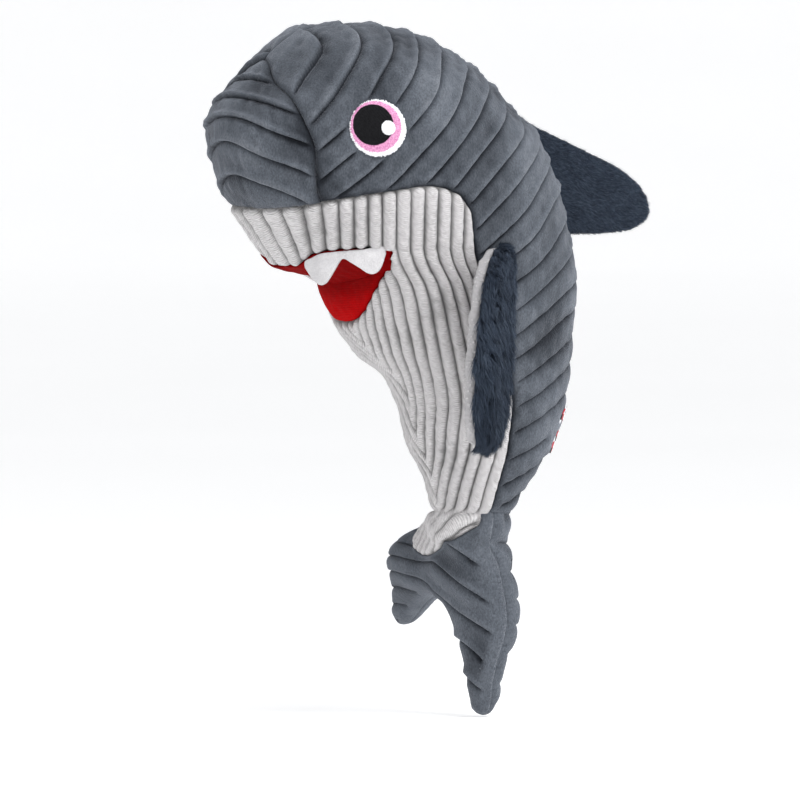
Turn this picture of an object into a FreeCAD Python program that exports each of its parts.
"""Plush shark dog toy, upright: face to -Y, back to +Y, its left side to +X, tail down. Millimetres.

The skin is a sewn fabric shell over polyester stuffing. Head and torso are lofts through level ellipses, and
the shell is cut into its sewn panels by prisms drawn in side view and in front view. The tail hangs from the
pinched waist and is swung to the shark's right. The fins are flat two-layer flaps sewn into the seams.
The origin is at the bottom centre of the whole toy's box.
"""

import FreeCAD, Part
import math
import os

import Sketcher
from FreeCAD import Placement, Rotation, Vector

OUT = "parts"
AXIS_X, AXIS_Y, AXIS_Z = Vector(1, 0, 0), Vector(0, 1, 0), Vector(0, 0, 1)
FAR = 260.0  # longer than the toy is wide or deep, for prisms that cut right through it

# Driving dimensions: alias, value, what it is.
CELLS = [
    ("fabric", 2.5, "thickness of the plush fabric with its pile"),
    ("felt", 1.6, "thickness of the tooth felt"),
    ("thread_pad", 0.8, "height of filled embroidery over the skin"),
    ("mouth_z", 198, "level of the roof of the mouth"),
    ("mouth_half", 43, "half width of the open mouth"),
    ("mouth_low_z", 172, "lowest point of the red mouth lining"),
    ("mouth_back_y", -22, "the mouth lining stays in front of this"),
    ("seam_gap", 3.2, "room between the skin and the root of a fin"),
    ("gusset_half", 42, "half width of the forehead gusset at the eyes"),
    ("gusset_foot", 37, "half width of the forehead gusset at the lip"),
    ("gusset_top_z", 290, "point of the forehead gusset"),
    ("gusset_back_y", -30, "the gusset stays in front of this"),
    ("eye_x", 54.6, "centre of the eye"),
    ("eye_y", -59.5, "centre of the eye"),
    ("eye_z", 259, "centre of the eye"),
    ("eye_yaw", 72, "way the eye faces, from the front"),
    ("eye_pitch", 12, "way the eye faces, above level"),
    ("sclera_r", 12.3, "embroidered white"),
    ("iris_r", 11.2, "embroidered iris"),
    ("pupil_r", 8.8, "embroidered pupil"),
    ("glint_r", 3.0, "embroidered highlight"),
    ("tooth_wide", 16.5, "width of one felt tooth"),
    ("tooth_tall", 11.5, "height of one felt tooth"),
    ("tooth_band", 3.0, "felt band that joins the two teeth of a side"),
    ("tooth_x", 29.5, "middle of a side's felt strip"),
    ("tooth_y", -58.5, "middle of a side's felt strip"),
    ("tooth_turn", 38, "turn of a felt strip about the vertical"),
    ("waist_y", 20, "tail hinge"),
    ("waist_z", 88, "tail hinge"),
    ("tail_roll", 31, "swing of the tail at rest, about the front-back axis"),
    ("ball_r", 18, "rounded top of the tail inside the waist"),
    ("ball_gap", 0.8, "room between the tail top and the torso"),
    ("patch_half", 15, "half width of the white patch on the tail"),
    ("patch_low", 19, "depth of the white patch below the hinge"),
    ("dorsal_half", 4, "half thickness of the dorsal fin"),
    ("pectoral_fur", 5, "fur layer of a pectoral fin"),
    ("pectoral_lining", 4, "pale lining layer of a pectoral fin"),
    ("pectoral_x", 59, "inner edge of a pectoral fin, its middle"),
    ("pectoral_y", -5, "inner edge of a pectoral fin, its middle"),
    ("pectoral_z", 187, "inner edge of a pectoral fin, its middle"),
    ("pectoral_lean", 11, "lean of its inner edge, outward going up"),
    ("left_yaw", -42, "way the left pectoral fin points, from straight out; it stands out to the front"),
    ("left_rake", 4, "lean of its inner edge, forward going up"),
    ("right_yaw", 46, "the same for the right one, as if it were on the left; it lies back along the body"),
    ("right_rake", 26, "lean of its inner edge, forward going up"),
    ("squeaker_r", 15, "squeaker bulb"),
    ("squeaker_h", 30, "squeaker bulb, end to end"),
    ("squeaker_wall", 1.0, "squeaker bulb wall"),
    ("squeaker_z", 146, "squeaker's middle, in the torso stuffing"),
    ("reed_r", 4.0, "squeaker reed holder"),
    ("reed_h", 7.0, "squeaker reed holder"),
    ("emblem_z", 126, "middle of the embroidered emblem"),
    ("emblem_yaw", 146, "way the emblem faces, from the front"),
    ("emblem_half_h", 11, "half height of the emblem"),
    ("emblem_half_w", 6, "half width of the emblem"),
]

# Level ellipses that the lofts pass through: height, middle in Y, half width in X, half depth in Y.
HEAD = [
    (198, -6, 57, 69.5),
    (212, -12, 60, 73.5),
    (232, -22, 61, 78),
    (252, -30, 60, 76.5),
    (268, -36, 56, 68),
    (281, -38, 50, 56),
    (292, -41, 40, 41.5),
    (300, -42.5, 26, 27),
    (304, -43, 9, 9.5),
]
TORSO = [
    (198, 6, 53, 56.5),
    (175, 9, 49, 54.5),
    (160, 15.5, 45, 47.5),
    (148, 21.5, 39.5, 40),
    (130, 23, 32.5, 33),
    (112, 23, 27, 27.2),
    (100, 22, 22.5, 22.8),
    (95, 20.6, 20.5, 20.8),
]
# A tail lobe, from the neck to its tip, in the hinge's frame: X, Y, Z, half width, half thickness, outward lean.
LOBE = [
    (0, 0, -6, 17.2, 17, 0),
    (9, 0, -27, 21.5, 15, 20),
    (20, 1, -44, 17, 12.5, 27),
    (29, 3, -60, 13.5, 10.5, 27),
    (35, 5, -72, 9, 8, 25),
    (38, 6, -79, 3.5, 3.4, 25),
]
# Outlines of the prisms and of the flat fins, closed in the order given, as smooth curves through the points.
SIDE_SEAM = [(26, 234), (12, 231), (2, 221), (-12, 207), (2, 184), (7, 160), (15, 139), (16, 117), (16, 96)]
LIP_TOP = [(-130, 217), (-90, 221), (-45, 229)]
DORSAL = [(20, 270), (42, 262), (66, 252.5), (90, 242.5), (104, 231.5), (108, 221), (102, 213.5), (80, 211.5), (40, 211)]
PECTORAL = [(-14, 17), (8, 18), (22, 9), (31, -10), (33, -32), (28, -54), (18, -70), (7, -68), (-1, -48), (-10, -22)]


def make_sheet(doc):
    """The spreadsheet that every size is read from."""
    sheet = doc.addObject("Spreadsheet::Sheet", "dims")
    rows = [(alias, value, note) for alias, value, note in CELLS]
    for name, stations in (("head", HEAD), ("torso", TORSO)):
        for k, values in enumerate(stations, 1):
            for letter, value in zip(("level", "mid", "wide", "deep"), values):
                rows.append((f"{name}_{letter}_{k}", value, f"{name} ellipse {k}"))
    for row, (alias, value, note) in enumerate(rows, 1):
        sheet.set(f"A{row}", note)
        sheet.set(f"B{row}", str(value))
        sheet.setAlias(f"B{row}", alias)
    doc.recompute()
    return sheet


def bind(obj, **expressions):
    """Binds an object's properties to cells; a double underscore in a name stands for a dot."""
    for name, text in expressions.items():
        obj.setExpression(name.replace("__", "."), text)
    return obj


def boolean(doc, kind, name, base, tool):
    made = doc.addObject(f"Part::{kind}", name)
    made.Base = base
    made.Tool = tool
    return made


def fuse(doc, name, shapes):
    made = doc.addObject("Part::MultiFuse", name)
    made.Shapes = shapes
    return made


def mirrored(doc, name, source):
    """The same piece on the shark's right side."""
    made = doc.addObject("Part::Mirroring", name)
    made.Source = source
    made.Normal = AXIS_X
    made.Base = Vector(0, 0, 0)
    return made


def tube(doc, name, kind, grow, ends=(0, 0)):
    """A loft through a stack of level ellipses, each grown by an expression, its end levels moved by ends."""
    stations = HEAD if kind == "head" else TORSO
    rings = []
    for k in range(1, len(stations) + 1):
        ring = doc.addObject("Part::Ellipse", f"{name}_ring_{k}")
        ring.Placement = Placement(Vector(0, 0, 0), Rotation(AXIS_Z, 90))
        shift = ends[0] if k == 1 else ends[1] if k == len(stations) else 0
        bind(
            ring,
            MajorRadius=f"dims.{kind}_deep_{k} + {grow}",
            MinorRadius=f"dims.{kind}_wide_{k} + {grow}",
            Placement__Base__y=f"dims.{kind}_mid_{k}",
            Placement__Base__z=f"dims.{kind}_level_{k} + {shift}",
        )
        rings.append(ring)
    loft = doc.addObject("Part::Loft", name)
    loft.Sections = rings
    loft.Solid = True
    return loft


def box(doc, name, low, high):
    """A box between two corners, for cutting."""
    made = doc.addObject("Part::Box", name)
    made.Length, made.Width, made.Height = (high[i] - low[i] for i in range(3))
    made.Placement = Placement(Vector(*low), Rotation())
    return made


def smooth_face(points, closed, to_3d):
    """A flat face inside a smooth curve through the points; an open curve is closed by a straight edge."""
    curve = Part.BSplineCurve()
    curve.interpolate(Points=[to_3d(*p) for p in points], PeriodicFlag=closed)
    edges = [curve.toShape()]
    if not closed:
        edges.append(Part.makeLine(to_3d(*points[-1]), to_3d(*points[0])))
    return Part.Face(Part.Wire(edges))


def feature(doc, name, shape, placement=None):
    made = doc.addObject("Part::Feature", name)
    made.Shape = shape
    if placement:
        made.Placement = placement
    return made


def make_white_zone(doc):
    """Side-view prism over the pale lip and belly: below the lip's top edge and in front of the side seam."""
    at = lambda y, z: Vector(-FAR / 2, y, z)
    top = Part.BSplineCurve()
    top.interpolate([at(*p) for p in LIP_TOP + [(-28, 227), (-20, 216), SIDE_SEAM[3]]])
    back = Part.BSplineCurve()
    back.interpolate([at(*p) for p in SIDE_SEAM[3:]])
    bottom = [at(*SIDE_SEAM[-1]), at(SIDE_SEAM[-1][0], 60), at(LIP_TOP[0][0], 60), at(*LIP_TOP[0])]
    edges = [top.toShape(), back.toShape()]
    edges += [Part.makeLine(a, b) for a, b in zip(bottom, bottom[1:])]
    return feature(doc, "white_zone", Part.Face(Part.Wire(edges)).extrude(Vector(FAR, 0, 0)))


def make_mouth_zone(doc, sheet):
    """Front-view prism over the lower mouth lining, a U under the roof of the mouth."""
    half, low, roof = sheet.mouth_half, sheet.mouth_low_z, sheet.mouth_z
    points = [(half, roof), (half * 0.93, roof - 9), (half * 0.6, low + 5), (0, low)]
    points += [(-x, z) for x, z in points[-2::-1]]
    face = smooth_face(points, False, lambda x, z: Vector(x, sheet.mouth_back_y, z))
    return feature(doc, "mouth_zone", face.extrude(Vector(0, -FAR / 2, 0)))


def make_gusset_zone(doc, sheet):
    """Front-view prism over the forehead gusset: a pointed arch between the eyes, open at the lip."""
    half, foot, top = sheet.gusset_half, sheet.gusset_foot, sheet.gusset_top_z
    low, middle = sheet.mouth_z + 6, sheet.eye_z - 9
    side = [(foot, low), (half, middle), (half * 0.68, (middle + top) / 2 + 6), (0, top)]
    edges = []
    for sign in (1, -1):
        curve = Part.BSplineCurve()
        curve.interpolate([Vector(sign * x, sheet.gusset_back_y, z) for x, z in side])
        edges.append(curve.toShape())
    feet = [Vector(sign * foot, sheet.gusset_back_y, low) for sign in (1, -1)]
    edges.append(Part.makeLine(feet[0], feet[1]))
    face = Part.Face(Part.Wire(Part.__sortEdges__(edges)))
    return feature(doc, "gusset_zone", face.extrude(Vector(0, -FAR / 2, 0)))


def make_squeaker(doc):
    """Blown plastic bulb, revolved with its hollow, and the reed holder in its mouth."""
    body = doc.addObject("PartDesign::Body", "squeaker_bulb")
    plane = next(f for f in body.Origin.OriginFeatures if f.Role == "XZ_Plane")
    sketch = body.newObject("Sketcher::SketchObject", "bulb_section")
    sketch.AttachmentSupport = [(plane, "")]
    sketch.MapMode = "FlatFace"
    sheet = doc.dims
    r, h, wall, mouth = sheet.squeaker_r, sheet.squeaker_h, sheet.squeaker_wall, sheet.reed_r
    outer = [(0, 0), (r, 0), (r, h), (mouth, h)]
    inner = [(mouth, h - wall), (r - wall, h - wall), (r - wall, wall), (0, wall)]
    corners = [Vector(x, z, 0) for x, z in outer + inner]
    count = len(corners)
    for k in range(count):
        sketch.addGeometry(Part.LineSegment(corners[k], corners[(k + 1) % count]))
    for k in range(count):
        sketch.addConstraint(Sketcher.Constraint("Coincident", k, 2, (k + 1) % count, 1))
    names = (("DistanceX", 0, "squeaker_r"), ("DistanceY", 1, "squeaker_h"))
    for kind, line, alias in names:
        index = sketch.addConstraint(Sketcher.Constraint(kind, line, 1, line, 2, getattr(sheet, alias)))
        sketch.setExpression(f"Constraints[{index}]", f"dims.{alias}")
    turned = body.newObject("PartDesign::Revolution", "bulb")
    turned.Profile = sketch
    turned.ReferenceAxis = (sketch, ["V_Axis"])
    turned.Angle = 360
    body.Tip = turned
    bind(
        body,
        Placement__Base__y="dims.waist_y",
        Placement__Base__z="dims.squeaker_z - dims.squeaker_h / 2",
    )
    reed = doc.addObject("Part::Cylinder", "squeaker_reed")
    bind(
        reed,
        Radius="dims.reed_r",
        Height="dims.reed_h",
        Placement__Base__y="dims.waist_y",
        Placement__Base__z="dims.squeaker_z + dims.squeaker_h / 2 - dims.reed_h + 1",
    )
    pocket = doc.addObject("Part::Cylinder", "squeaker_pocket")
    bind(
        pocket,
        Radius="dims.squeaker_r",
        Height="dims.squeaker_h + 1",
        Placement__Base__y="dims.waist_y",
        Placement__Base__z="dims.squeaker_z - dims.squeaker_h / 2",
    )
    return body, reed, pocket


def make_trunk(doc, sheet):
    """Head and torso: stuffing and the sewn panels of the shell. Returns the finished pieces by label."""
    head_out = tube(doc, "head_outer", "head", "0")
    head_in = tube(doc, "head_inner", "head", "-dims.fabric", ("dims.fabric", "-dims.fabric"))
    torso_out = tube(doc, "torso_outer", "torso", "0")
    torso_in = tube(doc, "torso_inner", "torso", "-dims.fabric", ("dims.fabric + 2", "dims.fabric"))
    socket = doc.addObject("Part::Sphere", "waist_socket")
    bind(
        socket,
        Radius="dims.ball_r + dims.ball_gap",
        Placement__Base__y="dims.waist_y",
        Placement__Base__z="dims.waist_z",
    )
    skin = fuse(doc, "trunk_outer", [head_out, torso_out])
    core = fuse(doc, "trunk_inner", [head_in, torso_in])
    core_cut = boolean(doc, "Cut", "core_over_waist", core, socket)
    bulb, reed, pocket = make_squeaker(doc)
    stuffing = boolean(doc, "Cut", "body_stuffing", core_cut, pocket)

    skin_cut = boolean(doc, "Cut", "skin_over_waist", skin, socket)
    shell = boolean(doc, "Cut", "trunk_shell", skin_cut, core)

    roof = sheet.mouth_z
    blank = doc.addObject("Part::Ellipse", "palate_edge")
    blank.Placement = Placement(Vector(0, 0, 0), Rotation(AXIS_Z, 90))
    bind(
        blank,
        MajorRadius="dims.head_deep_1 - dims.fabric",
        MinorRadius="dims.head_wide_1 - dims.fabric",
        Placement__Base__y="dims.head_mid_1",
        Placement__Base__z="dims.mouth_z",
    )
    palate_prism = doc.addObject("Part::Extrusion", "palate_prism")
    palate_prism.Base = blank
    palate_prism.Dir = AXIS_Z
    palate_prism.Solid = True
    bind(palate_prism, LengthFwd="dims.fabric")
    front = box(doc, "front_half", (-FAR / 2, -FAR / 2, roof), (FAR / 2, sheet.mouth_back_y, roof + 20))
    palate_zone = boolean(doc, "Common", "palate_zone", palate_prism, front)
    above = box(doc, "above_mouth", (-FAR / 2, -FAR / 2, roof), (FAR / 2, FAR / 2, roof + FAR / 2))
    left = box(doc, "left_half", (0, -FAR / 2, 60), (FAR / 2, FAR / 2, 60 + FAR))

    palate = boolean(doc, "Common", "palate_lining", shell, palate_zone)
    shell_2 = boolean(doc, "Cut", "shell_without_palate", shell, palate_zone)
    mouth = make_mouth_zone(doc, sheet)
    lining = boolean(doc, "Common", "lower_mouth_lining", shell_2, mouth)
    shell_3 = boolean(doc, "Cut", "shell_without_mouth", shell_2, mouth)
    white = make_white_zone(doc)
    pale = boolean(doc, "Common", "pale_shell", shell_3, white)
    grey = boolean(doc, "Cut", "grey_shell", shell_3, white)
    lip = boolean(doc, "Common", "upper_lip_panel", pale, above)
    belly = boolean(doc, "Cut", "belly_panel", pale, above)
    gusset_zone = make_gusset_zone(doc, sheet)
    gusset = boolean(doc, "Common", "forehead_gusset", grey, gusset_zone)
    grey_2 = boolean(doc, "Cut", "grey_sides", grey, gusset_zone)
    side_left = boolean(doc, "Common", "back_panel_left", grey_2, left)
    side_right = boolean(doc, "Cut", "back_panel_right", grey_2, left)
    pieces = [stuffing, bulb, reed, palate, lining, lip, belly, gusset, side_left, side_right]
    return pieces, head_out, torso_out


def make_eyes(doc, sheet, head_out):
    """Filled embroidery on the cheeks: four thread fields an eye, each standing a little off the skin."""
    head_pad = tube(doc, "head_pad", "head", "dims.thread_pad", ("0", "dims.thread_pad"))
    layer = boolean(doc, "Cut", "eye_layer", head_pad, head_out)
    yaw, pitch = math.radians(sheet.eye_yaw), math.radians(sheet.eye_pitch)
    facing = Vector(math.sin(yaw) * math.cos(pitch), -math.cos(yaw) * math.cos(pitch), math.sin(pitch))
    backward = Vector(math.cos(yaw), math.sin(yaw), 0)
    upward = facing.cross(backward) * -1
    upward = upward if upward.z > 0 else upward * -1
    reach = 50.0
    centre = Vector(sheet.eye_x, sheet.eye_y, sheet.eye_z) - facing * (reach / 2)

    def disc(name, alias, back, up):
        made = doc.addObject("Part::Cylinder", name)
        made.Placement = Placement(centre + backward * back + upward * up, Rotation(AXIS_Z, facing))
        bind(made, Radius=f"dims.{alias}")
        made.Height = reach
        return made

    discs = {
        "sclera": disc("sclera_disc", "sclera_r", 0, 0),
        "iris": disc("iris_disc", "iris_r", -0.9, 0.4),
        "pupil": disc("pupil_disc", "pupil_r", -2.3, 1.2),
        "glint": disc("glint_disc", "glint_r", 4.2, -0.3),
    }
    order = ["sclera", "iris", "pupil", "glint"]
    pieces = []
    field = layer
    for k, name in enumerate(order):
        part = boolean(doc, "Common", f"{name}_field", field, discs[name])
        field = part
        for other in order[k + 1 :]:
            part = boolean(doc, "Cut", f"{name}_less_{other}", part, discs[other])
        if name == "iris":
            field = boolean(doc, "Common", "eye_field", layer, discs["sclera"])
        elif name == "pupil":
            field = boolean(doc, "Common", "eye_field_again", layer, discs["sclera"])
        part.Label = f"eye_{name}_left"
        pieces.append(part)
        pieces.append(mirrored(doc, f"eye_{name}_right", part))
    return pieces


def make_teeth(doc):
    """A felt strip with two rounded points on each side of the mouth, hanging inside the lip."""
    body = doc.addObject("PartDesign::Body", "teeth_left")
    plane = next(f for f in body.Origin.OriginFeatures if f.Role == "XZ_Plane")
    sketch = body.newObject("Sketcher::SketchObject", "zigzag")
    sketch.AttachmentSupport = [(plane, "")]
    sketch.MapMode = "FlatFace"
    sheet = doc.dims
    wide, tall, band = sheet.tooth_wide, sheet.tooth_tall, sheet.tooth_band
    slope = 0.42 * wide
    corners = [(-wide, 0), (-wide, -1), (-wide + slope, -tall), (-wide + slope + 2.5, -tall), (0, -band)]
    corners += [(wide - slope - 2.5, -tall + 1.5), (wide - slope, -tall + 1.5), (wide, -1), (wide, 0)]
    points = [Vector(x, z, 0) for x, z in corners]
    count = len(points)
    for k in range(count):
        sketch.addGeometry(Part.LineSegment(points[k], points[(k + 1) % count]))
    for k in range(count):
        sketch.addConstraint(Sketcher.Constraint("Coincident", k, 2, (k + 1) % count, 1))
    pad = body.newObject("PartDesign::Pad", "felt")
    pad.Profile = sketch
    pad.setExpression("Length", "dims.felt")
    body.Tip = pad
    body.Placement = Placement(Vector(0, 0, 0), Rotation(AXIS_Z, sheet.tooth_turn))
    bind(
        body,
        Placement__Base__x="dims.tooth_x",
        Placement__Base__y="dims.tooth_y",
        Placement__Base__z="dims.mouth_z",
    )
    return [body, mirrored(doc, "teeth_right", body)]


def lobe(doc, name, side, grow, skip=0):
    """One tail lobe as a loft of leaning ellipses, in the hinge's frame, without its first few rings."""
    rings = []
    for k, (x, y, z, wide, thick, lean) in enumerate(LOBE[skip:], 1 + skip):
        ring = doc.addObject("Part::Ellipse", f"{name}_ring_{k}")
        ring.MajorRadius, ring.MinorRadius = wide + grow, thick + grow
        inward = 0.6 * grow if k == len(LOBE) else 0
        spot = Vector(side * (x + 0.4 * inward), y, z - inward)
        ring.Placement = Placement(spot, Rotation(AXIS_Y, -side * lean))
        rings.append(ring)
    made = doc.addObject("Part::Loft", name)
    made.Sections = rings
    made.Solid = True
    return made


def make_tail(doc, sheet):
    """The two-lobed tail in its hinge's frame, then placed at the waist and swung to the shark's right."""

    def ball(name, text):
        made = doc.addObject("Part::Sphere", name)
        return bind(made, Radius=text)

    fabric = sheet.fabric
    neck = doc.addObject("Part::Cylinder", "tail_neck_inner")
    neck.Placement = Placement(Vector(0, 0, -2 * sheet.ball_r + 3), Rotation())
    bind(neck, Radius="dims.ball_r - 2.6 * dims.fabric", Height="1.6 * dims.ball_r")
    outer = [ball("tail_ball_outer", "dims.ball_r"), lobe(doc, "lobe_outer_l", 1, 0), lobe(doc, "lobe_outer_r", -1, 0)]
    inner = [
        ball("tail_ball_inner", "dims.ball_r - dims.fabric"),
        neck,
        lobe(doc, "lobe_inner_l", 1, -fabric, 1),
        lobe(doc, "lobe_inner_r", -1, -fabric, 1),
    ]
    tail_out = fuse(doc, "tail_outer", outer)
    stuffing = fuse(doc, "tail_stuffing", inner)
    shell = tail_out
    for k, hollow in enumerate(inner, 1):
        shell = boolean(doc, "Cut", f"tail_shell_{k}", shell, hollow)
    front = box(doc, "tail_front_half", (-FAR / 2, -FAR / 2, -FAR / 2), (FAR / 2, 0, FAR / 2))
    half, low = sheet.patch_half, sheet.patch_low
    points = [(half, 12), (half * 0.95, -low * 0.4), (half * 0.55, -low * 0.88), (0, -low)]
    points += [(-x, z) for x, z in points[-2::-1]]
    face = smooth_face(points, False, lambda x, z: Vector(x, -4, z))
    patch_zone = feature(doc, "patch_zone", face.extrude(Vector(0, -FAR / 4, 0)))
    front_shell = boolean(doc, "Common", "tail_front_shell", shell, front)
    pieces = [
        stuffing,
        boolean(doc, "Cut", "tail_back_panel", shell, front),
        boolean(doc, "Cut", "tail_front_panel", front_shell, patch_zone),
        boolean(doc, "Common", "tail_belly_patch", front_shell, patch_zone),
    ]
    for piece in pieces:
        piece.Placement = Placement(Vector(0, 0, 0), Rotation(AXIS_Y, 1))
        bind(
            piece,
            Placement__Base__y="dims.waist_y",
            Placement__Base__z="dims.waist_z",
            Placement__Rotation__Angle="dims.tail_roll",
        )
    return pieces


def make_fins(doc, sheet):
    """Dorsal fin of two fur faces, and pectoral fins of a fur face on a pale lining, clear of the skin."""
    clear_head = tube(doc, "clear_head", "head", "dims.seam_gap", ("0", "dims.seam_gap"))
    clear_torso = tube(doc, "clear_torso", "torso", "dims.seam_gap", ("0", "0"))
    clear = fuse(doc, "clear_of_skin", [clear_head, clear_torso])
    pieces = []

    flat = smooth_face(DORSAL, True, lambda y, z: Vector(0, y, z))
    for side, name in ((1, "dorsal_fin_left_face"), (-1, "dorsal_fin_right_face")):
        blank = feature(doc, f"{name}_blank", flat.extrude(Vector(side * sheet.dorsal_half, 0, 0)))
        pieces.append(boolean(doc, "Cut", name, blank, clear))

    flat = smooth_face(PECTORAL, True, lambda s, z: Vector(s, 0, z))
    spot = Vector(sheet.pectoral_x, sheet.pectoral_y, sheet.pectoral_z)
    lean = Rotation(AXIS_Y, sheet.pectoral_lean)
    layers = (("fur_face", sheet.pectoral_fur), ("lining", -sheet.pectoral_lining))
    sides = (("left", sheet.left_rake, sheet.left_yaw, 1), ("right", sheet.right_rake, sheet.right_yaw, -1))
    for side, rake, yaw, outward in sides:
        turn = lean * Rotation(AXIS_X, rake) * Rotation(AXIS_Z, yaw)
        for name, thick in layers:
            layer = flat.extrude(Vector(0, outward * thick, 0))
            blank = feature(doc, f"{side}_{name}_blank", layer, Placement(spot, turn))
            piece = boolean(doc, "Cut", f"{side}_{name}_clear", blank, clear)
            if side == "right":
                piece = mirrored(doc, f"{side}_{name}_mirrored", piece)
            piece.Label = f"{side}_pectoral_{name}"
            pieces.append(piece)
    return pieces


def make_emblem(doc, sheet, torso_out):
    """A plain oval of filled embroidery on the left of the lower back."""
    pad = tube(doc, "torso_pad", "torso", "dims.thread_pad")
    layer = boolean(doc, "Cut", "emblem_layer", pad, torso_out)
    yaw = math.radians(sheet.emblem_yaw)
    facing = Vector(math.sin(yaw), -math.cos(yaw), 0)
    oval = Part.Ellipse(Vector(0, 0, 0), sheet.emblem_half_h, sheet.emblem_half_w).toShape()
    prism = Part.Face(Part.Wire([oval])).extrude(Vector(0, 0, FAR / 4))
    turn = Rotation(AXIS_Z, AXIS_Z.cross(facing), facing, "ZXY")
    zone = feature(doc, "emblem_zone", prism, Placement(Vector(0, sheet.waist_y, sheet.emblem_z), turn))
    return boolean(doc, "Common", "back_emblem", layer, zone)


def check(doc, pieces):
    """Every object computed, and every sub-part one or more valid closed solids."""
    for obj in doc.Objects:
        bad = [word for word in obj.State if word in ("Invalid", "Error")]
        if bad:
            raise RuntimeError(f"{obj.Name} is {bad}")
    for piece in pieces:
        shape = piece.Shape
        if shape.isNull() or not shape.isValid() or not shape.Solids:
            raise RuntimeError(f"{piece.Label} has no valid solid")


def main():
    doc = FreeCAD.newDocument("plush_shark")
    sheet = make_sheet(doc)
    pieces, head_out, torso_out = make_trunk(doc, sheet)
    pieces += make_eyes(doc, sheet, head_out)
    pieces += make_teeth(doc)
    pieces += make_tail(doc, sheet)
    pieces += make_fins(doc, sheet)
    pieces.append(make_emblem(doc, sheet, torso_out))
    doc.recompute()
    check(doc, pieces)
    os.makedirs(OUT, exist_ok=True)
    total = FreeCAD.BoundBox()
    for piece in pieces:
        total.add(piece.Shape.BoundBox)
        piece.Shape.exportStep(os.path.join(OUT, f"{piece.Label}.step"))
        print(f"{piece.Label:28s} solids {len(piece.Shape.Solids)} volume {piece.Shape.Volume / 1000:9.2f} cm3")
    print("whole toy", total)


main()
